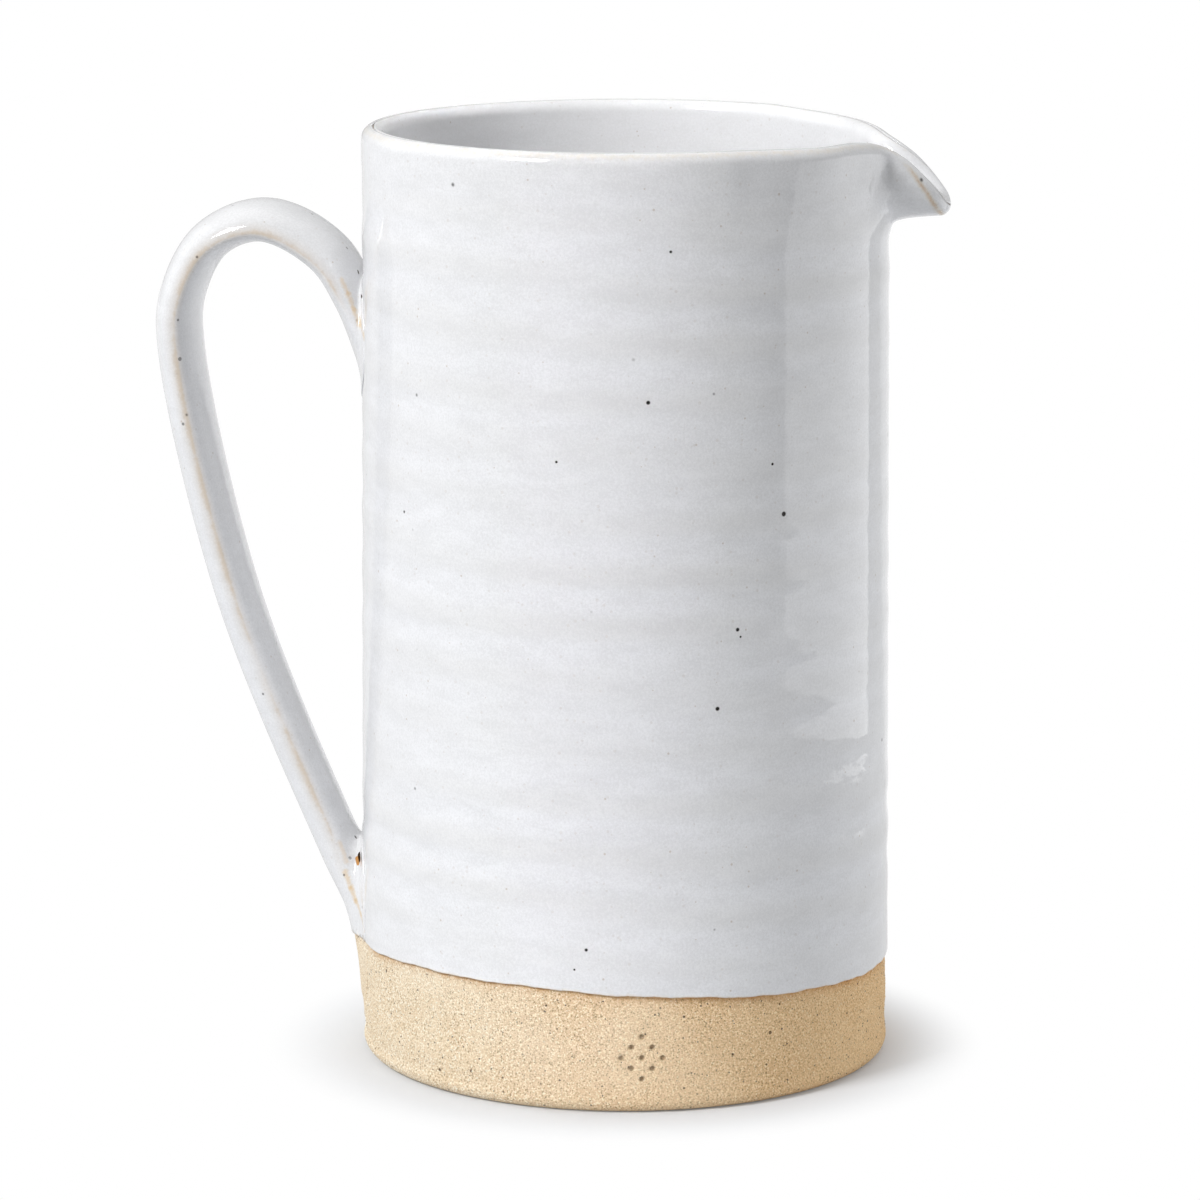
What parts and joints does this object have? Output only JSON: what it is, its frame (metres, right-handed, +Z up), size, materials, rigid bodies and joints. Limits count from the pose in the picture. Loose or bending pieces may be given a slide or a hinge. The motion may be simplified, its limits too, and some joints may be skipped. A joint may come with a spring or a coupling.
{
  "type": "pottery pitcher",
  "caption": "Straight-walled stoneware pitcher with a pulled beak spout, an arched strap handle opposite it, a glossy white glaze and a bare sandy clay foot band.",
  "frame": {"origin": "middle of the flat foot, on the surface the pitcher stands on", "axes": "+Z up along the body's axis, +X towards the spout, -X towards the handle"},
  "size_m": [0.1857, 0.1246, 0.218],
  "materials": {
    "clay": "matt, sandy, unglazed",
    "slip": "matt, dried slip, hidden in the joint",
    "glaze": "glossy white, finely speckled"
  },
  "bodies": {
    "root": {"thrown_body": "clay", "pulled_handle": "clay", "upper_slip_joint": "slip", "lower_slip_joint": "slip", "outer_glaze": "glaze", "liner_glaze": "glaze", "handle_glaze": "glaze"}
  },
  "joints": []
}
